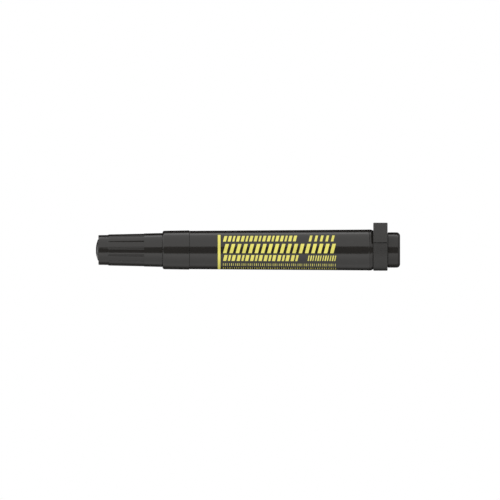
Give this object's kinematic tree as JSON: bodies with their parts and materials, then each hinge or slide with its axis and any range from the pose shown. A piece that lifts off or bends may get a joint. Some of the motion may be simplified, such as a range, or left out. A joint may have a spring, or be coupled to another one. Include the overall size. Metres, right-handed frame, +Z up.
{
  "type": "industrial marker",
  "caption": "Capped fibre-tip marker with a tapered barrel, and a magnet collar that turns on its rear plug so that it stores on steel.",
  "frame": {"origin": "on the surface that the marker lies on, under the middle of its length", "axes": "+X along the marker from the cap to the knob, +Z up through the flat face of the magnet housing, +Y away from the picture's viewer"},
  "size_m": [0.1354, 0.0184, 0.0214],
  "materials": {
    "black_plastic": "moulded, semi-gloss black",
    "satin_plastic": "moulded, satin black",
    "pale_plastic": "natural, uncoloured moulding",
    "inked_fibre": "bonded fibre soaked with black ink",
    "clear_film": "thin wrapped film",
    "nickel_plate": "nickel-plated magnet"
  },
  "bodies": {
    "marker_body": {"barrel": "black_plastic", "front_section": "black_plastic", "nib": "inked_fibre", "ink_reservoir": "inked_fibre", "reservoir_film": "clear_film", "rear_plug": "black_plastic"},
    "cap": {"cap_shell": "black_plastic", "cap_end_plug": "black_plastic", "cap_inner_sleeve": "pale_plastic"},
    "magnet_collar": {"magnet_ring": "satin_plastic", "magnet_housing": "satin_plastic", "magnet": "nickel_plate"}
  },
  "joints": [
    {"name": "cap_pull", "type": "slide", "parent": "marker_body", "child": "cap", "axis": [-1, 0, 0], "range_m": [0, 0.045]},
    {"name": "collar_turn", "type": "hinge", "parent": "marker_body", "child": "magnet_collar", "pos_m": [0.05894, 0, 0.00921], "axis": [1, 0, 0], "continuous": true}
  ]
}
